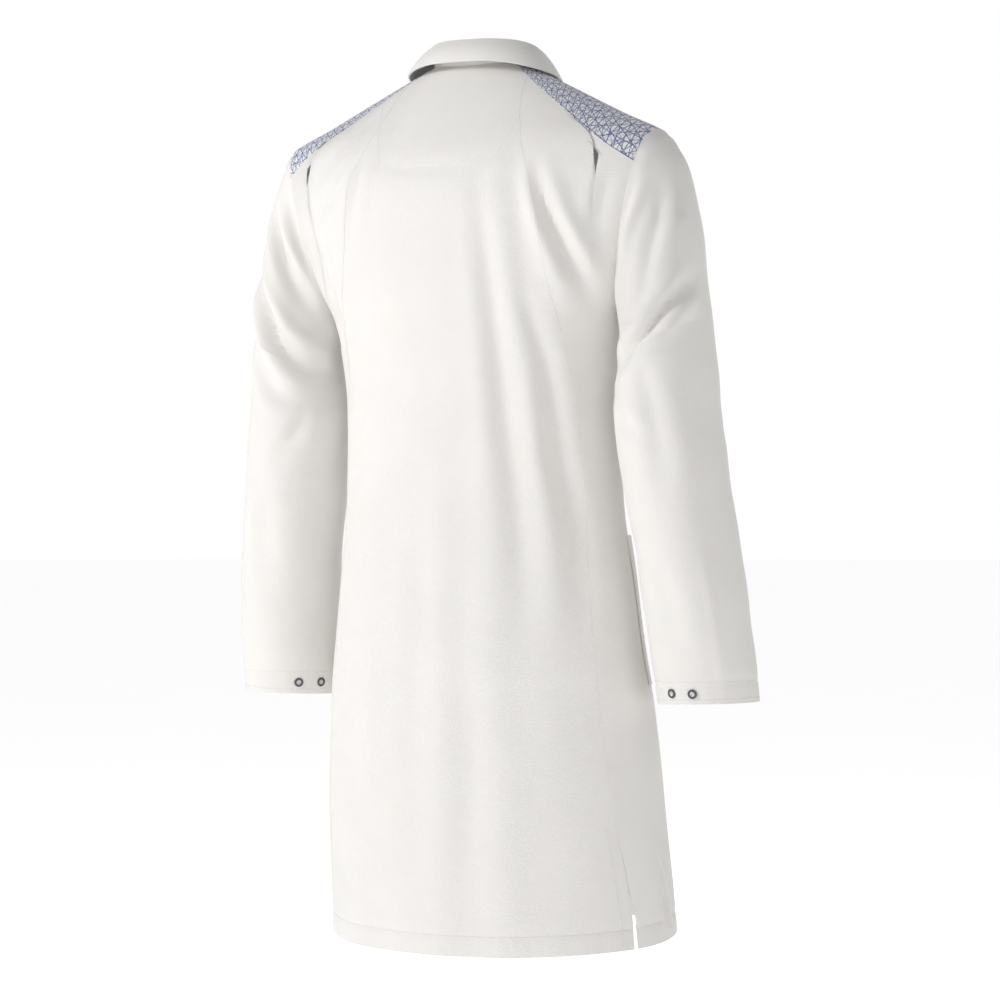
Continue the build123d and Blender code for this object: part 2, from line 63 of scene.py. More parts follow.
# ---- sizes, in metres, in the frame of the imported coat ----
MM = 0.001
MIDDLE_Y = 12.5 * MM  # the coat's sections are written about a line this far behind y = 0
CLOTH = 1.0 * MM
SPACING = 4.0 * MM  # distance between mesh rows
HEM_HEIGHT = 25 * MM
HEM_BACK_Z, HEM_SLOPE = 15.5 * MM, 0.1
NECK_A, NECK_B, NECK_Y = 68 * MM, 55 * MM, 37 * MM
YOKE_TOP_X, YOKE_TOP_Z, YOKE_SLOPE = 62 * MM, 1034 * MM, 0.703
UNDERARM_X, UNDERARM_Z, ARMHOLE_SLOPE = 190 * MM, 740 * MM, 0.243
ARMHOLE_CORNER_Z = 918 * MM
OVERLAP, UNDER_DROP = 20 * MM, 7 * MM
VENT_TOP_Z, VENT_GAP = 145 * MM, 2.8 * MM
WELD = 0.05 * MM
ARMHOLE_CALM = 30 * MM  # how far under the underarm the armhole's seam still calms the drape
TURNUP, TURNUP_SINK = 0.7 * MM, 1.2 * MM  # a turned-up hem's thickness and how deep it lies
YOKE_LIFT = 0.3 * MM
EDGE_STITCH, FLY_STITCH, HEM_STITCH = 2 * MM, 34 * MM, HEM_HEIGHT - 1.5 * MM
FLY_LOW_Z, FLY_TOP_Z, FACING_TOP_Z = 0.056, 0.976, 0.970
HIP_POCKET_Z, HIP_POCKET_HALF = (0.3125, 0.486), 65 * MM
CHEST_POCKET_X, CHEST_POCKET_Z = (0.049, 0.149), (0.7425, 0.871)
LABEL_HALF, LABEL_Z = 26 * MM, (0.970, 0.998)
VENT_FACING_Z, VENT_FACING_WIDTH = (0.030, 0.156), 20 * MM
LOOP_HALF, LOOP_TOP_Z, LOOP_DROP, TAPE_HALF = 24 * MM, 1.0435, 17 * MM, 3.2 * MM
SLEEVE_SPLIT_Z = 0.700

# Body sections: height, half width, y of the side line, y of the front, y of the back
SECTIONS = MM * np.array([
    (-25, 221, 2, -152, 153), (28, 220, 5, -147, 157), (171, 215, 22, -120, 163),
    (290, 208, 32, -100, 163), (354, 199, 40, -87, 164), (440, 189, 45, -73, 161),
    (535, 178, 50, -60, 157), (634, 175, 55, -52, 160), (700, 181, 56, -56, 165),
    (740, 190, 57, -60, 168), (780, 213, 58, -63, 171), (820, 232, 59, -63, 172),
    (860, 250, 61, -58, 172), (905, 262, 64, -44, 168), (930, 263, 64, -34, 160),
    (945, 254, 64, -27, 153), (975, 193, 63, -13, 136), (1000, 142, 62, 0, 120),
    (1020, 101, 61, 8, 106), (1034, 72, 60, 12, 96), (1046, 50, 59, 20, 86)])
SIDE_BACK_SEAM = MM * np.array([
    (208, -30), (206, 40), (192, 180), (180, 300), (167, 460), (155, 634), (145, 730),
    (136, 800), (131, 850), (122, 900), (105, 945), (93, 975), (82, 1015), (78, 1060)])

# Sleeve sections: inner x, z, outer x, z, y of the middle, half depth
UPPER_SLEEVE = MM * np.array([
    (194, 724, 272, 912, 61, 52), (197, 704, 289, 838, 62, 58), (196, 680, 297, 760, 62, 63),
    (192, 650, 305, 686, 61, 66), (190, 620.6, 311, 620.6, 60, 68)])
LOWER_SLEEVE = MM * np.array([
    (190, 619.4, 311, 619.4, 60, 68), (199, 542, 322, 538, 56, 66), (212, 460, 332, 455, 48, 64),
    (220, 378, 340, 376, 37, 62), (226, 293, 344, 297, 25, 60)])

# Collar edge around the neck: bearing (90 = centre back), roll height, edge x, y, z
COLLAR = np.array([
    (-88, 990, 48, -42, 926), (-72, 995, 66, -31, 941), (-52, 1011, 84, -13, 967),
    (-30, 1036, 92, 12, 1003), (-8, 1052, 95, 38, 1022), (12, 1060, 94, 63, 1027),
    (35, 1065, 80, 87, 1033), (62, 1067, 46, 106, 1039), (90, 1067, 0, 112, 1040)])

# Creases: height and x of the points along each, half width, depth (+ is a valley), lip.
# The x is the wearer's left when positive.
BACK_CREASES = [
    ([(-128, 915), (-133, 890), (-144, 852), (-158, 815), (-172, 778), (-178, 745)], 9.5, 9.0, 0.6),
    ([(-146, 915), (-158, 880), (-172, 830), (-182, 790)], 10, -3.0, 0.0),
    ([(-60, 900), (-64, 860), (-74, 766), (-84, 630), (-104, 453), (-108, 350)], 15, 6.0, 0.5),
    ([(-112, 760), (-128, 690), (-137, 579), (-155, 484), (-170, 354)], 12, 6.0, 0.5),
    ([(-100, 940), (-106, 880), (-116, 800), (-118, 700)], 14, 2.4, 0.3),
    ([(-212, 900), (-200, 862), (-190, 820)], 9, 3.0, 0.4),
    ([(104, 985), (124, 962), (146, 935), (172, 900)], 8, 3.4, 0.6),
    ([(98, 968), (122, 925), (152, 885), (192, 850)], 9, 3.4, 0.6),
    ([(100, 950), (108, 900), (120, 850), (140, 800)], 9, 2.4, 0.4),
    ([(196, 862), (182, 820), (170, 770), (160, 715), (150, 650)], 11, 5.5, 0.5),
    ([(150, 840), (158, 790), (160, 740)], 8, 2.6, 0.5),
    ([(84, 918), (40, 912), (0, 911), (-40, 912), (-82, 918)], 9, 2.2, 0.0),
    ([(30, 560), (24, 400), (30, 240), (28, 90)], 26, 2.8, 0.4),
    ([(120, 420), (128, 300), (138, 180), (140, 60)], 22, 3.2, 0.4),
    ([(-44, 330), (-50, 220), (-46, 110), (-48, 20)], 24, 3.0, 0.4),
]
FRONT_CREASES = [
    ([(120, 905), (140, 860), (168, 800)], 12, 4.0, 0.5),
    ([(-118, 900), (-138, 856), (-166, 800)], 12, 4.0, 0.5),
    ([(80, 640), (100, 560), (104, 500)], 16, 3.0, 0.4),
    ([(-84, 650), (-100, 560), (-108, 500)], 16, 3.0, 0.4),
    ([(70, 260), (84, 160), (90, 60)], 20, 4.0, 0.4),
    ([(-74, 280), (-88, 160), (-94, 60)], 20, 4.0, 0.4),
]
SLEEVE_BACK_CREASES = {
    "right": [
        ([(-250, 905), (-240, 876), (-222, 832), (-204, 790), (-200, 745)], 9, -6.0, 0.0),
        ([(-236, 900), (-226, 868), (-212, 826), (-206, 792)], 7, 6.5, 0.5),
        ([(-262, 888), (-262, 850), (-252, 800), (-246, 752)], 9, 5.5, 0.5),
        ([(-292, 862), (-280, 856), (-262, 850)], 4.5, 1.8, 0.6),
        ([(-298, 792), (-284, 762), (-258, 720), (-226, 688), (-206, 676)], 8, 9.0, 0.8),
        ([(-246, 690), (-262, 640), (-272, 580), (-276, 520)], 13, 3.6, 0.5),
        ([(-206, 650), (-222, 618), (-252, 596)], 8, 3.0, 0.5),
        ([(-312, 470), (-322, 380), (-326, 330), (-327, 290)], 4, -2.0, 0.0),
        ([(-262, 470), (-272, 400), (-276, 340)], 15, 2.6, 0.4),
    ],
    "left": [
        ([(288, 812), (268, 770), (246, 724), (222, 696), (200, 672)], 9, 11.0, 0.9),
        ([(262, 884), (252, 846), (232, 800), (208, 752)], 9, 8.5, 0.7),
        ([(236, 905), (228, 868), (214, 826), (204, 780)], 8, 6.5, 0.6),
        ([(292, 742), (276, 700), (252, 664), (222, 640)], 9, 4.5, 0.6),
        ([(206, 640), (226, 600), (254, 578)], 9, 3.4, 0.5),
        ([(262, 560), (270, 480), (276, 410)], 16, 2.8, 0.4),
        ([(314, 610), (318, 520), (322, 430)], 13, 2.4, 0.4),
    ],
}
SLEEVE_FRONT_CREASES = [
    ([(222, 800), (244, 740), (258, 690)], 12, 4.0, 0.5),
    ([(204, 660), (240, 632), (290, 640)], 9, 5.0, 0.6),
    ([(214, 600), (250, 588), (296, 604)], 9, 4.0, 0.6),
    ([(262, 520), (276, 440), (282, 380)], 16, 3.0, 0.4),
]
STAND_LOW = MM * np.array([955, 958, 971, 995, 1014, 1020, 1024, 1027, 1028])
FACING_LOW_Z = 917 * MM
FACING_OUTLINE = MM * np.array([(78, 917), (108, 1001), (62, 1034)])

# Face of a ring stud: radius and height over its middle
STUD_PROFILE = [(2.95, -0.45), (2.75, 0.05), (2.4, 0.22), (2.0, 0.05), (1.6, -0.3),
                (1.0, -0.42), (0.5, -0.3), (0.02, -0.27)]


# ---- the coat's surface ----
def section_slopes():
    z, columns = SECTIONS[:, 0], SECTIONS[:, 1:]
    step = np.diff(columns, axis=0) / np.diff(z)[:, None]
    product = step[:-1] * step[1:]
    total = np.where(product > 0, step[:-1] + step[1:], 1.0)
    inner = np.where(product > 0, 2 * product / total, 0.0)
    return np.vstack([np.zeros(4), inner, np.zeros(4)])


SLOPES = section_slopes()


def hermite(k, t, step, values, slopes):
    """The cubic from values[k] to values[k + 1] with those slopes, at t from 0 to 1."""
    rise = (1 + 2 * t) * (1 - t) ** 2 * values[k] + t * t * (3 - 2 * t) * values[k + 1]
    return rise + (t * (1 - t) ** 2 * slopes[k] + t * t * (t - 1) * slopes[k + 1]) * step


def bisect(low, high, inside, steps=30):
    """The last place inside, between low (inside) and high (outside), by halving."""
    for _ in range(steps):
        middle = (low + high) / 2
        good = inside(middle)
        low, high = np.where(good, middle, low), np.where(good, high, middle)
    return low


def in_neck(x, y):
    return (x / NECK_A) ** 2 + ((y - NECK_Y) / NECK_B) ** 2 < 1


def profile(z):
    """Half width, side line y, front y and back y of the body at heights z."""
    z = np.clip(z, SECTIONS[0, 0], SECTIONS[-1, 0])
    k = np.clip(np.searchsorted(SECTIONS[:, 0], z, side="right") - 1, 0, len(SECTIONS) - 2)
    step = (SECTIONS[k + 1, 0] - SECTIONS[k, 0])[..., None]
    t = (z - SECTIONS[k, 0])[..., None] / step
    out = hermite(k, t, step, SECTIONS[:, 1:], SLOPES)
    return out[..., 0], out[..., 1], out[..., 2], out[..., 3]


def side_y(x, z, side, drop=0.0):
    """y of the outer face on the back (+1) or the front (-1)."""
    a, middle, front, back = profile(z)
    root = np.sqrt(np.clip(1 - (x / a) ** 2, 0, 1))
    return middle + (back - middle) * root if side > 0 else middle - (middle - front - drop) * root


def body_points(angle, z, drop=0.0):
    """Points on the body at angles round it: 0 the side line, + to the back."""
    a, middle, front, back = profile(z)
    depth = np.where(np.sin(angle) > 0, back - middle, middle - front - drop)
    return np.stack([a * np.cos(angle), middle + depth * np.sin(angle), z], axis=-1)


def seam_x(z):
    return np.interp(z, SIDE_BACK_SEAM[:, 1], SIDE_BACK_SEAM[:, 0])


def vent_opening(z):
    """How far apart the two edges of the slit stand at height z."""
    return VENT_GAP * smooth_step((VENT_TOP_Z - z) / VENT_TOP_Z)


def armhole_x(z):
    return UNDERARM_X + (z - UNDERARM_Z) * ARMHOLE_SLOPE


def hem_z(y):
    return HEM_BACK_Z - HEM_SLOPE * y


def angle_at(x, z):
    return np.arccos(np.clip(x / profile(z)[0], -1, 1))


def armhole_angle(z):
    """Bearing of the armhole's edge, held still above the corner of the shoulder seam."""
    level = np.minimum(z, ARMHOLE_CORNER_Z)
    return angle_at(np.minimum(armhole_x(level), profile(level)[0]), level)


def allowed(x, y, z):
    """True under the shoulder seam and outside the neck ring."""
    under_yoke = z < YOKE_TOP_Z - YOKE_SLOPE * (np.abs(x) - YOKE_TOP_X)
    return under_yoke & ~in_neck(x, y)


def top_of(column, low, high, drop=0.0):
    """Highest allowed z on each column; column(z) gives the angle there."""
    def inside(z):
        p = body_points(column(z), z, drop)
        return allowed(p[..., 0], p[..., 1], z)

    return bisect(low, np.full_like(low, high), inside)


def bottom_of(column, drop=0.0):
    """The hem's z on each column."""
    z = np.full_like(column(np.array(0.02)), 0.02)
    for _ in range(8):
        z = hem_z(body_points(column(z), z, drop)[..., 1])
    return z


def rows_between(low, high, count):
    t = np.linspace(0, 1, count)[:, None]
    return low + (high - low) * t


# ---- drape ----
def distance_to(x, z, line):
    """Signed distance to a run of points, and how far along it, from 0 to 1."""
    line = np.array(line) * MM
    best = np.full(x.shape, 9.0)
    along = np.zeros(x.shape)
    lengths = np.hypot(*np.diff(line, axis=0).T)
    total, start = lengths.sum(), 0.0
    for (x0, z0), (x1, z1), length in zip(line[:-1], line[1:], lengths):
        dx, dz = (x1 - x0) / length, (z1 - z0) / length
        t = np.clip((x - x0) * dx + (z - z0) * dz, 0, length)
        ox, oz = x - x0 - dx * t, z - z0 - dz * t
        d = np.hypot(ox, oz) * np.sign(ox * dz - oz * dx + 1e-12)
        near = np.abs(d) < np.abs(best)
        best, along = np.where(near, d, best), np.where(near, (start + t) / total, along)
        start += length
    return best, along


def crease_depth(x, z, creases):
    """How far creases push the cloth out, in metres (negative is in)."""
    push = np.zeros(x.shape)
    for line, width, depth, lip in creases:
        d, along = distance_to(x, z, line)
        w = width * MM * (0.75 + 0.5 * along)
        fade = np.sin(np.pi * np.clip(0.03 + 0.94 * along, 0, 1))
        shape = -np.exp(-(d / w) ** 2)
        shape += lip * np.exp(-((np.abs(d) - 1.7 * w) / (1.1 * w)) ** 2)
        push += depth * MM * fade * shape
    return push


def slow_waves(p, size, seed):
    """Gentle unevenness, a few waves long, between about -1 and 1."""
    rng = np.random.default_rng(seed)
    total = np.zeros(p.shape[:-1])
    for _ in range(9):
        direction = rng.normal(size=3) * (1.0, 1.0, 0.45)
        run = p @ direction * (6.3 / size) / np.linalg.norm(direction)
        total += np.sin(run + rng.uniform(0, 6.3))
    return total / 4.5


def smooth_step(t):
    t = np.clip(t, 0, 1)
    return t * t * (3 - 2 * t)


def drape_body(p, drop=0.0):
    """Moves points of the smooth body out and in, as hanging cloth does."""
    x, y, z = p[..., 0], p[..., 1], p[..., 2]
    a, middle, front, back = profile(z)
    depth = np.where(y > middle, back - middle, middle - front - drop)
    normal = np.stack([x / a ** 2, (y - middle) / depth ** 2, np.zeros_like(x)], axis=-1)
    normal /= np.linalg.norm(normal, axis=-1)[..., None] + 1e-12
    on_back = smooth_step((y - middle) / (25 * MM))
    on_front = smooth_step((middle - y) / (25 * MM))
    push = on_back * crease_depth(x, z, BACK_CREASES)
    calm = smooth_step((np.abs(x) - 40 * MM) / (30 * MM))
    push += on_front * calm * crease_depth(x, z, FRONT_CREASES)
    flow = smooth_step((UNDERARM_Z - z) / 0.5)
    bearing = np.arctan2(y - middle, x)
    waves = np.sin(bearing * 9 + 1.1) * 0.6 + np.sin(bearing * 14 + 4) * 0.4
    front_calm = np.where(y > middle, 1.0, calm)
    push += flow * waves * 1.8 * MM * front_calm
    push += slow_waves(p, 0.11, 3) * 0.8 * MM * front_calm
    height = z - hem_z(y)
    push += pucker(x + y, height)
    edge = smooth_step((armhole_x(z) - np.abs(x)) / (22 * MM))
    push *= np.where(z > UNDERARM_Z - ARMHOLE_CALM, edge, 1.0)
    push *= smooth_step((1.012 - z) / 0.05)
    return p + normal * push[..., None]


def pucker(run, height):
    """The hem's stitched line draws in, and the cloth ripples between stitches."""
    line = np.exp(-((height - HEM_HEIGHT) / (3.5 * MM)) ** 2)
    ripple = 0.5 + 0.5 * np.sin(run / (13 * MM) * 6.28 + 2 * np.sin(run / (47 * MM) * 6.28))
    band = smooth_step(1 - np.abs(height - 0.5 * HEM_HEIGHT) / HEM_HEIGHT)
    return -line * 0.9 * MM + band * (ripple - 0.5) * 0.8 * MM


# ---- mesh helpers ----
def normals_of(grid):
    across = np.gradient(grid, axis=1)
    up = np.gradient(grid, axis=0)
    normal = np.cross(across, up)
    return normal / (np.linalg.norm(normal, axis=-1)[..., None] + 1e-12)


def offset(grid, distance):
    return grid + normals_of(grid) * distance


def grid_uv(grid):
    """Distance across and up the cloth, in metres."""
    across = np.linalg.norm(np.diff(grid, axis=1, prepend=grid[:, :1]), axis=-1).cumsum(axis=1)
    up = np.linalg.norm(np.diff(grid, axis=0, prepend=grid[:1]), axis=-1).cumsum(axis=0)
    middle = across[:, across.shape[1] // 2][:, None]
    return np.stack([across - middle, up[:, up.shape[1] // 2][:, None] + 0 * across], axis=-1)


def joined(grids):
    """Grids as one skin: welded points, faces, and a place on the cloth for each corner."""
    points = np.concatenate([grid.reshape(-1, 3) for grid in grids])
    uvs = np.concatenate([grid_uv(grid).reshape(-1, 2) for grid in grids])
    quads, count = [], 0
    for grid in grids:
        ids = np.arange(grid.shape[0] * grid.shape[1]).reshape(grid.shape[:2]) + count
        corners = [ids[:-1, :-1], ids[:-1, 1:], ids[1:, 1:], ids[1:, :-1]]
        quads.append(np.stack(corners, axis=-1).reshape(-1, 4))
        count += ids.size
    quads = np.concatenate(quads)
    cells = np.round(points / WELD + 0.137).astype(np.int64)
    _, first, place = np.unique(cells, axis=0, return_index=True, return_inverse=True)
    return points[first], place.reshape(-1)[quads], uvs[quads]


def point_normals(points, quads):
    a, b, c, d = points[quads.T]
    face = np.cross(c - a, d - b)
    normal = np.zeros_like(points)
    for corner in range(4):
        np.add.at(normal, quads[:, corner], face)
    return normal / (np.linalg.norm(normal, axis=1)[:, None] + 1e-12)


def thick(grids, depth=CLOTH, sink=0.0):
    """A closed cloth shell behind grids: from `sink` to `sink` + `depth` under them."""
    points, quads, corner_uv = joined(grids)
    normal = point_normals(points, quads)
    count = len(points)
    edges = np.concatenate([quads[:, [k, (k + 1) % 4]] for k in range(4)])
    present = set(map(tuple, edges.tolist()))
    rim = np.array([edge for edge in edges.tolist() if (edge[1], edge[0]) not in present])
    walls = np.stack([rim[:, 1], rim[:, 0], rim[:, 0] + count, rim[:, 1] + count], axis=-1)
    point_uv = np.zeros((2 * count, 2))
    point_uv[quads] = corner_uv
    point_uv[count:] = point_uv[:count]
    faces = np.concatenate([quads, quads[:, ::-1] + count, walls])
    uv = np.concatenate([corner_uv, corner_uv[:, ::-1], point_uv[walls]])
    return np.concatenate([points - normal * sink, points - normal * (sink + depth)]), faces, uv


def make_piece(name, shells, material):
    """One object from (points, faces, corner places on the cloth) shells."""
    points, faces, places, count = [], [], [], 0
    for shell_points, shell_faces, shell_places in shells:
        points.append(shell_points)
        for face, place in zip(shell_faces.tolist(), shell_places.tolist()):
            keep = [k for k in range(4) if face[k] not in face[:k]]
            if len(keep) > 2:
                faces.append([face[k] + count for k in keep])
                places += [place[k] for k in keep]
        count += len(shell_points)
    mesh = bpy.data.meshes.new(name)
    mesh.from_pydata((np.concatenate(points) - (0, MIDDLE_Y, 0)).tolist(), [], faces)
    layer = mesh.uv_layers.new(name="cloth")
    layer.data.foreach_set("uv", np.array(places, dtype=np.float32).ravel())
    mesh.polygons.foreach_set("use_smooth", [True] * len(mesh.polygons))
    mesh.set_sharp_from_angle(angle=math.radians(55))
    mesh.materials.append(material)
    piece = bpy.data.objects.new(name, mesh)
    bpy.context.scene.collection.objects.link(piece)
    return piece


def sheet_area(grid):
    across, up = np.diff(grid, axis=1)[:-1], np.diff(grid, axis=0)[:, :-1]
    return float(np.linalg.norm(np.cross(across, up), axis=-1).sum())


def declare(grids):
    """Works out the size that a hung cloth piece's surface lays out to; the sizes are not kept or
    used.
    """
    area = sum(sheet_area(grid) for grid in grids)
    spans = [grid_uv(grid) for grid in grids]
    width = max(float(np.ptp(uv[..., 0])) for uv in spans)
    length = max(float(np.ptp(uv[..., 1])) for uv in spans)
    if len(grids) > 1:
        width = max(width, area / length)


def mirrored(grid):
    """The same sheet on the other side of the coat, its outer face still out."""
    return grid[:, ::-1] * (-1, 1, 1)


# ---- materials ----
class Nodes:
    """A material and a short way to add nodes to it."""

    def __init__(self, name):
        self.material = bpy.data.materials.new(name)
        self.material.use_nodes = True
        self.tree = self.material.node_tree
        self.shader = self.tree.nodes["Principled BSDF"]

    def add(self, kind, inputs=(), **settings):
        node = self.tree.nodes.new("ShaderNode" + kind)
        for key, value in settings.items():
            setattr(node, key, value)
        for key, value in dict(inputs).items():
            if isinstance(value, bpy.types.NodeSocket):
                self.tree.links.new(value, node.inputs[key])
            else:
                node.inputs[key].default_value = value
        return node

    def math(self, operation, a, b=0.0, clamp=False):
        node = self.add("Math", {0: a, 1: b}, operation=operation, use_clamp=clamp)
        return node.outputs[0]

    def weighted(self, a, share, b, rest):
        return self.math("ADD", self.math("MULTIPLY", a, share), self.math("MULTIPLY", b, rest))

    def mix(self, factor, a, b):
        node = self.add("Mix", {0: factor, 6: a, 7: b}, data_type="RGBA")
        return node.outputs[2]

    def set(self, values):
        for key, value in values.items():
            self.shader.inputs[key].default_value = value

    def link(self, output, key):
        self.tree.links.new(output, self.shader.inputs[key])


def twill_height(nodes, uv):
    """Fine diagonal ribs with yarn irregularity, as a height from 0 to 1."""
    turned = nodes.add("Mapping", {"Vector": uv, "Rotation": (0, 0, math.radians(52))})
    ribs = nodes.add("TexWave", {"Vector": turned.outputs[0], "Scale": 190.0, "Distortion": 0.6,
                                 "Detail": 1.0, "Detail Scale": 2.0})
    yarn = nodes.add("TexNoise", {"Vector": uv, "Scale": 900.0, "Detail": 2.0})
    return nodes.weighted(ribs.outputs["Fac"], 0.6, yarn.outputs["Fac"], 0.4)


def cloth_material(name, color, groove_shade_and_tone, print_color=None):
    nodes = Nodes(name)
    uv = nodes.add("UVMap", uv_map="cloth").outputs[0]
    height = twill_height(nodes, uv)
    slow = nodes.add("TexNoise", {"Vector": uv, "Scale": 14.0, "Detail": 3.0}).outputs["Fac"]
    # Painted shade: where the twill's ribs dip (low height) the cloth is coloured darker, as shade
    # in the grooves would look; the slow noise adds random tone to the cloth's own colour
    base = nodes.mix(nodes.weighted(height, 0.55, slow, 0.45), groove_shade_and_tone, color)
    if print_color:
        base = print_color(nodes, uv, base)
    nodes.link(base, "Base Color")
    creased = nodes.add("TexNoise", {"Vector": uv, "Scale": 60.0, "Detail": 4.0, "Roughness": 0.6})
    soft = nodes.add("Bump", {"Height": creased.outputs["Fac"], "Strength": 0.10,
                              "Distance": 0.0012})
    weave = nodes.add("Bump", {"Height": height, "Strength": 0.5, "Distance": 0.0006,
                               "Normal": soft.outputs[0]})
    nodes.link(weave.outputs[0], "Normal")
    nodes.set({"Roughness": 0.78, "Sheen Weight": 0.18, "Sheen Roughness": 0.45,
               "Specular IOR Level": 0.22})
    return nodes.material


def line_family(nodes, uv, bearing, spacing, width, seed):
    """Straight, unevenly spaced lines one way across the cloth, as a mask."""
    bend = nodes.add("TexNoise", {"Vector": uv, "Scale": 28.0 + seed, "Detail": 0.0}).outputs["Fac"]
    direction = (math.cos(bearing) / spacing, math.sin(bearing) / spacing, 0.0)
    run = nodes.add("VectorMath", {0: uv, 1: direction}, operation="DOT_PRODUCT").outputs["Value"]
    run = nodes.math("ADD", run, nodes.math("MULTIPLY", bend, 0.5))
    part = nodes.math("FRACT", nodes.math("ADD", run, seed))
    saw = nodes.math("ABSOLUTE", nodes.math("SUBTRACT", part, 0.5))
    edge = nodes.math("SUBTRACT", saw, 0.5 - width / spacing)
    return nodes.math("MULTIPLY", edge, 1.6 * spacing / width, clamp=True)


def net_print(nodes, uv, base):
    """A dense net of straight blue and thin grey lines, crossing at every angle."""
    grey = blue = None
    for k in range(9):
        thin = k % 3 == 2
        spacing, width = (0.0080 + 0.0006 * k, 0.00040) if thin else (0.0078 + 0.0008 * k, 0.00054)
        mask = line_family(nodes, uv, math.radians(20.6 * k + 7), spacing, width, 0.37 * k)
        if thin:
            grey = mask if grey is None else nodes.math("MAXIMUM", grey, mask)
        else:
            blue = mask if blue is None else nodes.math("MAXIMUM", blue, mask)
    base = nodes.mix(nodes.math("MULTIPLY", grey, 0.7), base, (0.10, 0.13, 0.27, 1))
    return nodes.mix(nodes.math("MULTIPLY", blue, 0.95), base, (0.022, 0.055, 0.255, 1))


def metal_material(name, color, roughness):
    nodes = Nodes(name)
    place = nodes.add("TexCoord").outputs["Object"]
    scratches, worn = [
        nodes.add("TexNoise", {"Vector": place, "Scale": scale, "Detail": detail}).outputs["Fac"]
        for scale, detail in ((900.0, 3.0), (240.0, 2.0))]
    light = tuple(min(1.0, c * 1.9) for c in color[:3]) + (1.0,)
    nodes.link(nodes.mix(nodes.math("MULTIPLY", worn, 0.6), color, light), "Base Color")
    nodes.set({"Metallic": 1.0})
    rough = nodes.add("MapRange", {"Value": scratches, "To Min": roughness - 0.08,
                                   "To Max": roughness + 0.12})
    nodes.link(rough.outputs[0], "Roughness")
    bump = nodes.add("Bump", {"Height": scratches, "Strength": 0.2, "Distance": 0.0001})
    nodes.link(bump.outputs[0], "Normal")
    return nodes.material


# Each cloth's second colour is its darker end: painted shade in the twill's grooves, and random
# tone in the cloth
WHITE = cloth_material("white_twill", (0.850, 0.828, 0.802, 1), (0.735, 0.717, 0.694, 1))
PRINT = cloth_material("patterned_twill", (0.82, 0.82, 0.82, 1), (0.74, 0.74, 0.74, 1), net_print)
THREAD = cloth_material("sewing_thread", (0.80, 0.785, 0.765, 1), (0.68, 0.665, 0.65, 1))
LABEL = cloth_material("label_tape", (0.80, 0.81, 0.82, 1), (0.66, 0.68, 0.70, 1))
GUNMETAL = metal_material("gunmetal", (0.085, 0.085, 0.09, 1), 0.34)
SNAP_STEEL = metal_material("snap_steel", (0.42, 0.42, 0.43, 1), 0.30)


# ---- stitches ----
def resampled(line, step):
    line = np.asarray(line, float)
    run = np.concatenate([[0], np.linalg.norm(np.diff(line, axis=0), axis=1).cumsum()])
    stops = np.arange(step / 2, run[-1], step)
    return np.stack([np.interp(stops, run, line[:, k]) for k in range(3)], axis=-1)


def stitch_group(lines, outward, pitch=3.4 * MM, length=2.5 * MM, girth=0.32 * MM):
    """Short raised threads along lines; outward gives each line's normals."""
    points, quads = [], []
    for line, normals in zip(lines, outward):
        ends = resampled(line, pitch)
        lift = resampled_like(normals, line, ends)
        for k in range(1, len(ends) - 1):
            along = ends[k + 1] - ends[k - 1]
            along /= np.linalg.norm(along) + 1e-12
            up = lift[k] / (np.linalg.norm(lift[k]) + 1e-12)
            side = np.cross(along, up)
            base = len(points)
            for t, fat in ((-0.5, 0.35), (-0.25, 1.0), (0.25, 1.0), (0.5, 0.35)):
                centre = ends[k] + along * (t * length) + up * (girth * (0.15 + 0.35 * (fat > 0.5)))
                for s, u in ((-1, -0.6), (-0.7, 0.6), (0.7, 0.6), (1, -0.6)):
                    points.append(centre + side * (s * girth * fat) + up * (u * girth * fat))
            for ring in range(3):
                for c in range(4):
                    a, b = base + ring * 4 + c, base + ring * 4 + (c + 1) % 4
                    quads.append((a, b, b + 4, a + 4))
            quads.append((base + 3, base + 2, base + 1, base))
            quads.append((base + 12, base + 13, base + 14, base + 15))
    points, quads = np.array(points), np.array(quads)
    return points, quads, points[quads][..., [0, 2]]


def resampled_like(values, line, targets):
    line, values = np.asarray(line, float), np.asarray(values, float)
    picked = [int(np.argmin(((line - target) ** 2).sum(axis=1))) for target in targets]
    return values[picked]


# ---- body pieces ----
def counts(length):
    return max(4, int(round(length / SPACING)) + 1)


def back_panel_grid():
    """The back between the two side-back seams, from hem to neck."""
    s = np.linspace(-1, 1, counts(0.36))

    def column(z):
        wide = seam_x(z) - vent_opening(z) / 2
        return np.pi / 2 - np.arcsin(np.clip(s * wide / profile(z)[0], -1, 1))

    low = bottom_of(column)
    high = top_of(column, np.full_like(s, 0.9), 1.045)
    z = rows_between(low, high, counts(1.04))
    grid = body_points(column(z), z)
    return grid[:, ::-1]


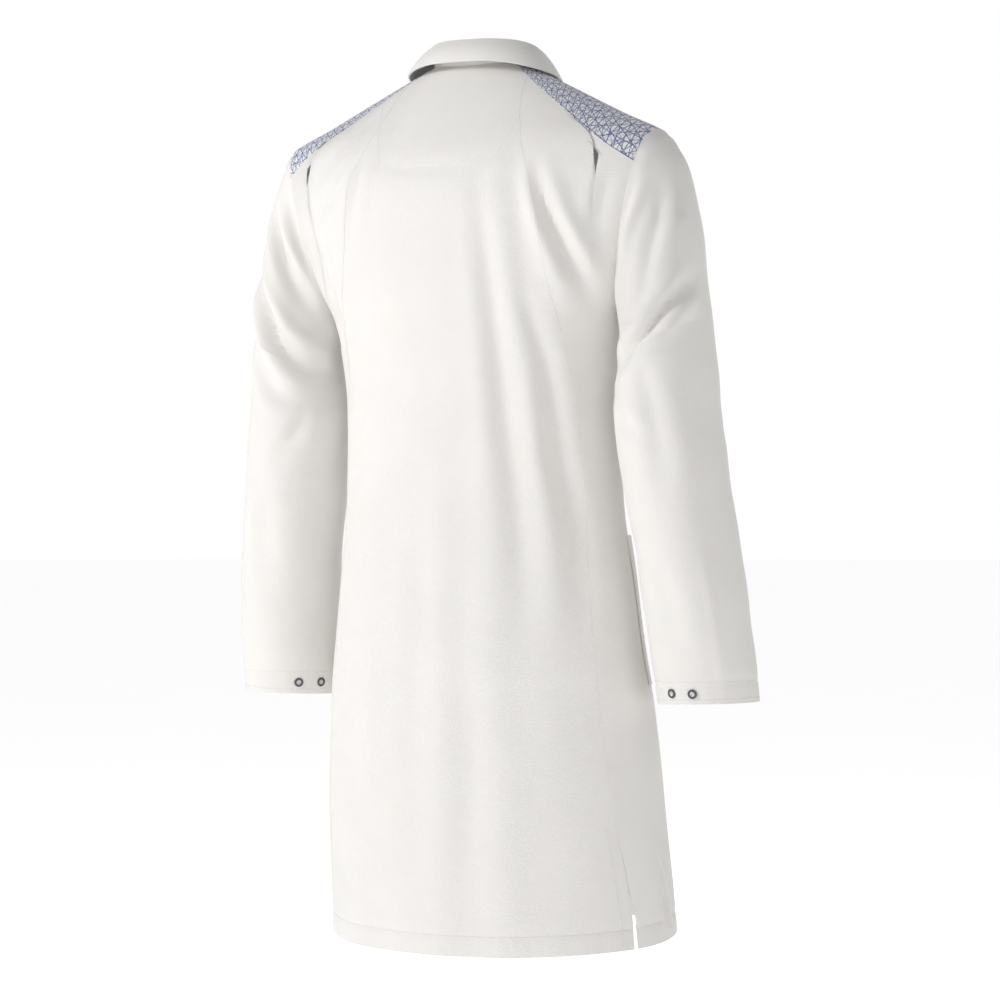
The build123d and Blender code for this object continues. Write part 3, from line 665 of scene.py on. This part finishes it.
def front_grids(drop):
    """The left front, wrapped round the side: below the underarm, behind and before the armhole."""
    back_steps, front_steps = counts(0.085), counts(0.26)
    cb, cf = np.linspace(0, 1, back_steps), np.linspace(0, 1, front_steps)

    def behind(z):
        start = angle_at(seam_x(z) + vent_opening(z) / 2, z)
        end = np.where(z > UNDERARM_Z, armhole_angle(z), 0.0)
        return start + (end - start) * cb

    def before(z):
        start = np.where(z > UNDERARM_Z, -armhole_angle(z), 0.0)
        end = -angle_at(np.full_like(z, -OVERLAP), z)
        return start + (end - start) * cf

    grids = []
    for column, steps in ((behind, back_steps), (before, front_steps)):
        underarm = np.full(steps, UNDERARM_Z)
        low = bottom_of(column, drop)
        high = top_of(column, underarm, 1.04, drop)
        lower = rows_between(low, underarm, counts(0.72))
        upper = rows_between(underarm, high, counts(0.24))
        z = np.concatenate([lower, upper[1:]])
        grids.append(body_points(column(z), z, drop))
    behind_grid, before_grid = grids
    rows = counts(0.72)
    lower = np.concatenate([behind_grid[:rows], before_grid[:rows, 1:]], axis=1)
    return [grid[:, ::-1] for grid in (lower, behind_grid[rows - 1:], before_grid[rows - 1:])]


def ridge_z(x):
    """Height of the shoulder's ridge at x."""
    return bisect(np.full_like(x, 0.94), np.full_like(x, 1.0459), lambda z: profile(z)[0] > x)


def yoke_point(x, r, drop):
    """A point of the left yoke: x across it, r from -1 (front seam) to 1 (back seam)."""
    top = ridge_z(x)
    seam = np.minimum(YOKE_TOP_Z - YOKE_SLOPE * (x - YOKE_TOP_X), top - 0.4 * MM)
    z = top - (top - seam) * r * r
    y = np.where(r > 0, side_y(x, z, 1), side_y(x, z, -1, drop))
    return np.stack([x, y, z], axis=-1)


def yoke_grid(drop):
    r = np.linspace(1, -1, counts(0.16))

    def before_neck(x):
        p = yoke_point(x, r, drop)
        return in_neck(p[:, 0], p[:, 1])

    def before_armhole(x):
        p = yoke_point(x, r, drop)
        return p[:, 0] < armhole_x(p[:, 2])

    inner = bisect(np.full_like(r, 0.030), np.full_like(r, 0.110), before_neck)[:, None]
    outer = bisect(np.full_like(r, 0.200), np.full_like(r, 0.262), before_armhole)[:, None]
    x = inner + (outer - inner) * np.linspace(0, 1, counts(0.18))
    return yoke_point(x, r[:, None] + 0 * x, drop)[::-1]


def hem_band(grid):
    """The turned-up inner layer of a panel's lowest stretch."""
    height = grid[..., 2] - hem_z(grid[..., 1])
    rows = int(np.argmax(height.min(axis=1) > HEM_HEIGHT)) + 1
    return thick([grid[:rows]], TURNUP, TURNUP_SINK)


def hem_stitches(grid):
    height = (grid[..., 2] - hem_z(grid[..., 1])).mean(axis=1)
    k = int(np.argmin(np.abs(height - HEM_HEIGHT)))
    below, above = height[k - 1], height[k]
    t = (HEM_STITCH - below) / (above - below)
    line = grid[k - 1] + (grid[k] - grid[k - 1]) * t
    return line, normals_of(grid)[k]


def inset_line(grid, column, inset):
    """A line along one side of a sheet, `inset` in from its edge."""
    step = 1 if column == 0 else -1
    edge, inner = grid[:, column], grid[:, column + step]
    inward = inner - edge
    inward /= np.linalg.norm(inward, axis=1)[:, None] + 1e-12
    return edge + inward * inset, normals_of(grid)[:, column + step]


def blend_front(piece):
    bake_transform(piece)


def add_stitches(name, lines, move, **sizes):
    move(make_piece(name, [stitch_group(*zip(*lines), **sizes)], THREAD))


def ride_body(piece):
    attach(piece, "coat_body")


def hang(piece, move, nodes, grids):
    move(piece)
    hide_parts(*nodes)
    declare(grids)


def build_back():
    grid = drape_body(back_panel_grid())
    panel = make_piece("back_panel_cloth", [thick([grid]), hem_band(grid)], WHITE)
    hang(panel, ride_body, ["back_center_panel", "back_hem_turnup"], [grid])
    slit = grid[:, :, 2] < VENT_TOP_Z + 14 * MM
    rows = int(np.argmin(slit.all(axis=1)))
    lines = [inset_line(grid, column, 1.6 * MM) for column in (0, -1)]
    lines += [inset_line(grid[:rows], column, 14 * MM) for column in (0, -1)]
    add_stitches("back_panel_stitching", lines + [hem_stitches(grid)], ride_body)


def build_front(side):
    drop = 0.0 if side == "left" else UNDER_DROP
    grids = front_grids(drop)
    if side == "right":
        grids = [mirrored(grid) for grid in grids]
    grids = [drape_body(grid, drop) for grid in grids]
    panel = make_piece(side + "_front_cloth", [thick(grids), hem_band(grids[0])], WHITE)
    ends = ("_front_panel", "_front_flap", "_hem_turnup", "_flap_hem_turnup")
    nodes = [side + end for end in ends]
    hang(panel, lambda piece: blend_front(piece), nodes, grids)
    edge = 0 if side == "left" else -1
    lines = [inset_line(grids[0], edge, inset) for inset in (EDGE_STITCH, FLY_STITCH)]
    lines += [hem_stitches(grids[0])]
    lines += [inset_line(grids[2], edge, inset) for inset in (EDGE_STITCH, FLY_STITCH)]
    add_stitches(side + "_front_stitching", lines, lambda piece: blend_front(piece))
    build_closure_strip(side, drop)


def patch(xs, zs, side, drop=0.0):
    """A draped stretch of the back (+1) or the front (-1), seen from outside."""
    x, z = np.meshgrid(xs, zs)
    grid = drape_body(np.stack([x, side_y(x, z, side, drop), z], axis=-1), drop)
    return grid[:, ::-1] if side > 0 else grid


def build_closure_strip(side, drop):
    """The strip behind each front edge that holds the press studs."""
    xs = np.linspace(-OVERLAP + 0.5 * MM, OVERLAP - 2 * MM, 12)
    high = FLY_TOP_Z if side == "left" else FACING_TOP_Z
    grid = patch(xs, np.arange(FLY_LOW_Z, high, SPACING), -1, drop)
    name = "fly_cloth" if side == "left" else "front_facing_cloth"
    strip = make_piece(name, [thick([grid], 1.5 * MM, 1.3 * MM)], WHITE)
    node = "fly" if side == "left" else "front_facing"
    hang(strip, lambda piece: blend_front(piece), ["upper_" + node, "lower_" + node], [grid])


def build_yoke(side):
    drop = 0.0 if side == "left" else UNDER_DROP
    grid = yoke_grid(drop)
    grid = drape_body(mirrored(grid) if side == "right" else grid, drop)
    yoke = make_piece(side + "_shoulder_yoke_cloth", [thick([offset(grid, YOKE_LIFT)])], PRINT)
    hang(yoke, ride_body, [side + "_shoulder_yoke"], [grid])
    normal = normals_of(grid)
    lines = [(grid[row] + normal[row] * YOKE_LIFT, normal[row]) for row in (1, -2)]
    add_stitches(side + "_yoke_stitching", lines, ride_body)


def build_facing():
    """The shaped lining at the back of the neck, its label and the slit facings."""
    zs = np.linspace(FACING_LOW_Z, 1.034, 40)
    half = np.interp(zs, FACING_OUTLINE[:, 1], FACING_OUTLINE[:, 0])[:, None]
    x = np.linspace(1, -1, 56)[None, :] * half
    z = zs[:, None] + 0 * x
    grid = drape_body(np.stack([x, side_y(x, z, 1), z], axis=-1))
    facing = make_piece("neck_facing_cloth", [thick([grid], 0.8 * MM, 1.3 * MM)], WHITE)
    hang(facing, ride_body, ["back_neck_facing"], [grid])
    sides = [inset_line(grid, column, 1.5 * MM) for column in (0, -1)]
    low = (grid[0] * 0.6 + grid[1] * 0.4, normals_of(grid)[0])
    add_stitches("neck_facing_stitching", [low] + sides, ride_body, girth=0.2 * MM)
    tag = patch(np.linspace(-LABEL_HALF, LABEL_HALF, 20), np.linspace(*LABEL_Z, 12), 1)
    label = make_piece("neck_label_cloth", [thick([tag], 0.5 * MM, 2.3 * MM)], LABEL)
    hang(label, ride_body, ["neck_label"], [tag])
    for side, sign, drop in (("left", 1, 0.0), ("right", -1, UNDER_DROP)):
        strips = [vent_strip(sign, -1, 0.0), vent_strip(sign, 1, drop)]
        shells = [thick([grid], 0.7 * MM, 1.25 * MM) for grid in strips]
        strip = make_piece(side + "_vent_facing_cloth", shells, WHITE)
        hang(strip, ride_body, [side + "_vent_facings"], strips)


def vent_strip(sign, toward, drop):
    """Half of a slit's facing: toward the back's middle (-1) or the side (+1)."""
    z = np.arange(*VENT_FACING_Z, SPACING)
    near = seam_x(z) + toward * (vent_opening(z) / 2 + 0.5 * MM)
    x = near[:, None] + toward * np.linspace(0, VENT_FACING_WIDTH, 8)[None, :]
    rows = z[:, None] + 0 * x
    grid = np.stack([x, side_y(x, rows, 1, drop), rows], axis=-1)
    grid = grid[:, ::-1] if toward > 0 else grid
    return drape_body(grid if sign > 0 else mirrored(grid), drop)


def build_loop():
    """The twisted hanger tape inside the back of the neck."""
    u = np.linspace(-1, 1, 41)
    wall = NECK_Y + (NECK_B - 3 * MM) * math.sqrt(1 - (24 / 65) ** 2)
    middle = np.stack([LOOP_HALF * u, wall - 0.8 * MM - 8 * MM * (1 - u ** 4),
                       LOOP_TOP_Z - LOOP_DROP * (1 - u * u)], axis=-1)
    turn = 0.5 * np.pi * smooth_step((0.8 - np.abs(u)) / 0.4)[:, None]
    across = np.concatenate([0 * turn, np.sin(turn), np.cos(turn)], axis=1) * TAPE_HALF
    grid = np.stack([middle + across * share for share in (-1, -0.3, 0.3, 1)])
    loop = make_piece("hanger_loop_cloth", [thick([grid], 1.2 * MM, -0.6 * MM)], WHITE)
    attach(loop, "coat_body")
    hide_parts("hanger_loop")


def hip_pocket_grid(drop):
    """The left hip pocket's outline on the draped front."""
    zs, width = np.linspace(*HIP_POCKET_Z, 46), np.linspace(-HIP_POCKET_HALF, HIP_POCKET_HALF, 36)
    angles = np.linspace(-1.35, 0.35, 300)
    rows = []
    for z in zs:
        p = body_points(angles, np.full_like(angles, z), drop)
        along = (p[:, 0] - 0.150) * 0.56 + (p[:, 1] + 0.030) * 0.83
        rows.append(np.interp(width, along, angles))
    return body_points(np.array(rows), zs[:, None] + 0 * np.array(rows), drop)


def build_pocket(name, node, grid, move, drop=0.0):
    """A patch pocket: stitched flat round its edge and a little full towards the mouth."""
    rows, columns = grid.shape[:2]
    v, u = np.linspace(0, 1, rows)[:, None], np.abs(np.linspace(-1, 1, columns))[None, :]
    grid = drape_body(grid, drop)
    full = smooth_step((1 - u) / 0.35) * smooth_step(v / 0.25)
    grid = grid + normals_of(grid) * (1.5 * MM + (0.9 + 1.6 * v ** 2) * MM * full)[..., None]
    top = rows - 7
    shells = [thick([grid], 1.1 * MM), thick([grid[top:]], 0.4 * MM, 1.15 * MM)]
    hang(make_piece(name, shells, WHITE), move, [node], [grid])
    normal = normals_of(grid)
    lines = [inset_line(grid, column, EDGE_STITCH) for column in (0, -1)]
    lines += [(grid[0] * 0.5 + grid[1] * 0.5, normal[0]), (grid[top], normal[top])]
    add_stitches(name + "_stitching", lines, move)


def build_pockets():
    for side in ("left", "right"):
        drop = 0.0 if side == "left" else UNDER_DROP
        grid = hip_pocket_grid(drop)
        grid = mirrored(grid) if side == "right" else grid
        build_pocket(side + "_hip_pocket_cloth", side + "_hip_pocket", grid,
                     lambda piece: blend_front(piece), drop)
    x, z = np.meshgrid(np.linspace(*CHEST_POCKET_X, 28), np.linspace(*CHEST_POCKET_Z, 34))
    grid = np.stack([x, side_y(x, z, -1), z], axis=-1)
    build_pocket("chest_pocket_cloth", "chest_pocket", grid, ride_body)


# ---- sleeves ----
AROUND = 84


def armhole_ring():
    top = bisect(0.90, 1.0, lambda z: profile(np.array(z))[0] > armhole_x(z), 40)
    t = np.linspace(0, 2 * np.pi, AROUND + 1)
    z = (UNDERARM_Z + top) / 2 - (top - UNDERARM_Z) / 2 * np.cos(t)
    x = armhole_x(z)
    y = np.where(np.sin(t) > 0, side_y(x, z, 1), side_y(x, z, -1))
    return np.stack([x, y, z], axis=-1)


def oval_ring(row):
    x0, z0, x1, z1, y, depth = row
    t = np.linspace(0, 2 * np.pi, AROUND + 1)
    across = (1 - np.cos(t)) / 2
    return np.stack([x0 + (x1 - x0) * across, y + depth * np.sin(t), z0 + (z1 - z0) * across],
                    axis=-1)


def smooth_tube(rings, steps):
    """Rings with smooth in-between rings added."""
    rings = np.array(rings)
    padded = np.concatenate([[2 * rings[0] - rings[1]], rings, [2 * rings[-1] - rings[-2]]])
    out = []
    for k in range(len(rings) - 1):
        p0, p1, p2, p3 = padded[k:k + 4]
        for t in np.linspace(0, 1, steps[k], endpoint=False):
            out.append(0.5 * (2 * p1 + (p2 - p0) * t + (2 * p0 - 5 * p1 + 4 * p2 - p3) * t ** 2
                              + (3 * p1 - p0 - 3 * p2 + p3) * t ** 3))
    return np.array(out + [rings[-1]])


def sleeve_normals(grid):
    """Outward normals of a closed tube whose first and last columns are one line."""
    wide = np.concatenate([grid[:, -2:-1], grid, grid[:, 1:2]], axis=1)
    across = (wide[:, 2:] - wide[:, :-2])
    up = np.gradient(grid, axis=0)
    normal = np.cross(across, up)
    normal /= np.linalg.norm(normal, axis=-1)[..., None] + 1e-12
    middle = grid[:, :-1].mean(axis=1)[:, None]
    flip = np.sign(((grid - middle) * normal).sum(axis=-1).mean())
    return normal * flip


def drape_sleeve(grid, side):
    """The left-hand sleeve grid with that side's creases; run from the armhole down."""
    sign = 1 if side == "left" else -1
    normal = sleeve_normals(grid)
    x, y, z = grid[..., 0] * sign, grid[..., 1], grid[..., 2]
    centre = (grid[..., 1].max(axis=1) + grid[..., 1].min(axis=1))[:, None] / 2
    half = (grid[..., 1].max(axis=1) - grid[..., 1].min(axis=1))[:, None] / 2
    lean = (y - centre) / half
    push = smooth_step(lean / 0.45) * crease_depth(x, z, SLEEVE_BACK_CREASES[side])
    push += smooth_step(-lean / 0.45) * crease_depth(np.abs(x), z, SLEEVE_FRONT_CREASES)
    push += slow_waves(grid * (sign, 1, 1), 0.08, 8 + sign) * 1.0 * MM
    run = np.linalg.norm(np.diff(grid, axis=0, prepend=grid[:1]), axis=-1).cumsum(axis=0)
    from_cuff = run[-1:] - run
    turn = np.linspace(0, 2 * np.pi, grid.shape[1])[None, :]
    push += pucker(turn * 0.06, from_cuff)
    push += np.exp(-((run - 10 * MM) / (9 * MM)) ** 2) * smooth_step((z - 0.80) / 0.08) * 2.2 * MM
    push *= smooth_step((run - 1 * MM) / (14 * MM))
    return grid + normal * push[..., None]


def sleeve_grid(side):
    rings = [armhole_ring()] + [oval_ring(row) for row in UPPER_SLEEVE]
    rings += [oval_ring(row) for row in LOWER_SLEEVE[1:]]
    steps = [9, 9, 9, 9, 8, 15, 15, 15, 16]
    return drape_sleeve(smooth_tube(rings, steps), side)


def build_sleeve(side):
    grid = sleeve_grid(side)
    split = int(np.argmin(np.abs(grid[:, :, 2].mean(axis=1) - SLEEVE_SPLIT_Z)))
    if side == "right":
        grid = mirrored(grid)
    normal = sleeve_normals(grid)
    upper, lower = grid[:split + 1], grid[split:].copy()
    lower[0] -= normal[split] * 0.1 * MM
    run = np.linalg.norm(np.diff(grid, axis=0), axis=-1).mean(axis=1)[::-1].cumsum()
    hem_rows = int(np.argmax(run > HEM_HEIGHT)) + 2
    upper_piece = make_piece(side + "_upper_sleeve_cloth", [thick([upper])], WHITE)
    shells = [thick([lower]), thick([grid[-hem_rows:]], TURNUP, TURNUP_SINK)]
    lower_piece = make_piece(side + "_lower_sleeve_cloth", shells, WHITE)
    arm, forearm = side + "_upper_arm", side + "_forearm"
    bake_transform(upper_piece)
    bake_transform(lower_piece)
    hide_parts(side + "_upper_sleeve")
    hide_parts(side + "_lower_sleeve", side + "_cuff_turnup")
    declare([upper])
    declare([lower])
    from_cuff = run[::-1]
    k = int(np.argmin(np.abs(from_cuff - HEM_STITCH)))
    add_stitches(side + "_cuff_stitching", [(grid[k], normal[k]), (grid[-2], normal[-2])],
                 lambda piece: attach(piece, forearm))


def stud_faces(node):
    """Centre and outward direction of each ring stud in a CAD node."""
    points = np.array([vertex.co for vertex in frame["nodes"][node].data.vertices])
    order = np.argsort(points[:, 0])
    cut = int(np.argmax(np.diff(points[order, 0])))
    found = []
    for group in (points[order[:cut + 1]], points[order[cut + 1:]]):
        centre = (group.min(axis=0) + group.max(axis=0)) / 2
        _, _, axes = np.linalg.svd(group - group.mean(axis=0))
        found.append((centre, axes[2]))
    return found


def build_stud_details(side):
    """A prong ring, a rolled inner rim and a dished eye in each dark ring stud."""
    box_low, box_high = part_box(side + "_lower_sleeve")
    middle = (np.array(box_low) + np.array(box_high)) / 2
    for index, (centre, axis) in enumerate(stud_faces(side + "_cuff_rings")):
        axis = axis * np.sign(np.dot(axis, centre - (middle[0], centre[1] - 0.03, centre[2])))
        square = np.cross(axis, (0, 0, 1.0))
        square /= np.linalg.norm(square)
        up = np.cross(square, axis)
        turn = np.linspace(0, 2 * np.pi, 41)[None, :]
        radius, lift = (np.array(row)[:, None] * MM for row in zip(*STUD_PROFILE))
        teeth = 0.12 * MM * np.cos(turn * 10) * (np.abs(radius - 2.5 * MM) < 0.3 * MM)
        grid = (centre + (0, MIDDLE_Y, 0) + (radius * np.cos(turn))[..., None] * square
                + (radius * np.sin(turn))[..., None] * up + (lift + teeth)[..., None] * axis)
        stud = make_piece(f"{side}_stud_face_{index + 1}", [thick([grid], 0.3 * MM)], SNAP_STEEL)
        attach(stud, side + "_forearm")


# ---- collar ----
def collar_rows(count):
    """Roll and edge points round the neck, from the right front to the left front."""
    bearing = np.concatenate([COLLAR[:, 0], 180 - COLLAR[-2::-1, 0]])
    table = np.concatenate([COLLAR[:, 1:], COLLAR[-2::-1, 1:] * (1, -1, 1, 1)])
    at = np.linspace(bearing[0], bearing[-1], count)
    smooth = [catmull(bearing, table[:, k], at) for k in range(4)]
    return at, np.stack(smooth, axis=-1) * MM


def catmull(x, y, at):
    """Smooth interpolation through points."""
    slope = np.gradient(y, x)
    k = np.clip(np.searchsorted(x, at, side="right") - 1, 0, len(x) - 2)
    step = x[k + 1] - x[k]
    t = (at - x[k]) / step
    return hermite(k, t, step, y, slope)


def neck_point(bearing, out):
    angle = np.radians(bearing)
    x, y = (NECK_A + out) * np.cos(angle), NECK_Y + (NECK_B + out) * np.sin(angle)
    return np.stack([x, y], axis=-1)


def collar_grid():
    """The fall from the roll line out and down to the collar's edge."""
    bearing, rows = collar_rows(counts(0.46))
    roll_z, edge = rows[:, 0], rows[:, 1:]
    inner = np.concatenate([neck_point(bearing, 0.3 * MM), (roll_z - 3.0 * MM)[:, None]], axis=1)
    crown = np.concatenate([neck_point(bearing, 2.2 * MM), (roll_z + 0.2 * MM)[:, None]], axis=1)
    outer = np.concatenate([neck_point(bearing, 4.6 * MM), (roll_z - 2.2 * MM)[:, None]], axis=1)
    rings = [inner, crown, outer]
    for t in np.linspace(0.14, 1.0, 10):
        point = outer + (edge - outer) * t
        away = (edge - outer) * (1, 1, 0)
        away /= np.linalg.norm(away, axis=1)[:, None] + 1e-9
        bow = 2.6 * MM * np.sin(np.pi * t) ** 0.8
        rings.append(point + away * bow + np.array((0, 0, 0.4)) * bow)
    return np.array(rings)[::-1]


def build_collar():
    grid = collar_grid()
    collar = make_piece("collar_cloth", [thick([offset(grid, 1.0 * MM)], 2.0 * MM)], WHITE)
    hang(collar, ride_body, ["collar_fall", "under_collar"], [grid])
    normal = normals_of(grid)
    edge = grid[0] + (grid[1] - grid[0]) * 0.8 + normal[0] * 1.0 * MM
    add_stitches("collar_stitching", [(edge, normal[0])], ride_body)
    bearing, rows = collar_rows(counts(0.40))
    every = np.concatenate([COLLAR[:, 0], 180 - COLLAR[-2::-1, 0]])
    low = catmull(every, np.concatenate([STAND_LOW, STAND_LOW[-2::-1]]), bearing)
    foot = np.concatenate([neck_point(bearing, 0.6 * MM), low[:, None]], axis=1)
    head = np.concatenate([neck_point(bearing, 0.6 * MM), (rows[:, 0] - 2.2 * MM)[:, None]], axis=1)
    stand = np.array([foot + (head - foot) * t for t in np.linspace(0, 1, 10)])
    band = make_piece("collar_stand_cloth", [thick([stand], 2.6 * MM)], WHITE)
    hang(band, ride_body, ["collar_stand", "inner_collar_stand"], [stand])


# ---- stage, light and camera ----
def build_stage():
    """A wide pale floor under the coat."""
    bpy.ops.mesh.primitive_circle_add(vertices=96, radius=40, fill_type="NGON",
                                      location=(0, 0, -0.17))
    floor = bpy.context.object
    floor.name = "studio_floor"
    nodes = Nodes("studio_white")
    grain = nodes.add("TexNoise", {"Vector": nodes.add("TexCoord").outputs["Object"], "Scale": 3.0})
    pale = nodes.mix(grain.outputs["Fac"], (0.94, 0.94, 0.94, 1), (0.96, 0.96, 0.96, 1))
    nodes.link(pale, "Base Color")
    nodes.link(pale, "Emission Color")
    nodes.set({"Emission Strength": 0.62, "Roughness": 0.9})
    floor.data.materials.append(nodes.material)


def area_light(name, location, target, size, power):
    light = bpy.data.lights.new(name, "AREA")
    light.shape, light.size, light.energy = "DISK", size, power
    lamp = bpy.data.objects.new(name, light)
    lamp.location = location
    aim = Vector(target) - Vector(location)
    lamp.rotation_euler = aim.to_track_quat("-Z", "Y").to_euler()
    bpy.context.scene.collection.objects.link(lamp)


def build_light():
    world = bpy.data.worlds.new("studio")
    world.use_nodes = True
    tree = world.node_tree
    soft = tree.nodes["Background"]
    soft.inputs["Color"].default_value = (1, 1, 1, 1)
    soft.inputs["Strength"].default_value = 0.40
    seen = tree.nodes.new("ShaderNodeBackground")
    seen.inputs["Color"].default_value = (1, 1, 1, 1)
    mix, path = tree.nodes.new("ShaderNodeMixShader"), tree.nodes.new("ShaderNodeLightPath")
    tree.links.new(path.outputs["Is Camera Ray"], mix.inputs[0])
    tree.links.new(soft.outputs[0], mix.inputs[1])
    tree.links.new(seen.outputs[0], mix.inputs[2])
    tree.links.new(mix.outputs[0], tree.nodes["World Output"].inputs["Surface"])
    bpy.context.scene.world = world
    middle = (0, 0, 0.6)
    area_light("key", (2.1, 2.7, 2.2), middle, 1.0, 66)
    area_light("fill", (-3.4, 1.2, 1.4), middle, 2.0, 7)
    area_light("front_fill", (0.6, -3.4, 1.8), middle, 2.0, 26)
    bpy.context.scene.view_settings.view_transform = "Standard"


def build_camera():
    azimuth, distance = math.radians(210), 4.5
    camera = bpy.data.cameras.new("camera")
    camera.lens, camera.sensor_width = 136.0, 36.0
    camera.clip_end = 50
    eye = bpy.data.objects.new("camera", camera)
    target = Vector((0, 0, 0.528))
    eye.location = target + Vector((math.sin(azimuth), -math.cos(azimuth), 0)) * distance
    eye.rotation_euler = (target - eye.location).to_track_quat("-Z", "Y").to_euler()
    bpy.context.scene.collection.objects.link(eye)
    bpy.context.scene.camera = eye


build_camera()
build_light()
build_stage()
build_back()
build_facing()
build_collar()
build_loop()
for side in ("left", "right"):
    build_front(side)
    build_yoke(side)
    build_sleeve(side)
    build_stud_details(side)
build_pockets()

# Carried-over metal and cloth nodes take a detailed material of their own
METALS = {"gunmetal": GUNMETAL, "snap_steel": SNAP_STEEL}
for entry in frame["record"]["subparts"]:
    node = frame["nodes"][entry["node"]]
    material = METALS.get(entry["material_slot"], WHITE)
    node.data.materials.clear()
    node.data.materials.append(material)
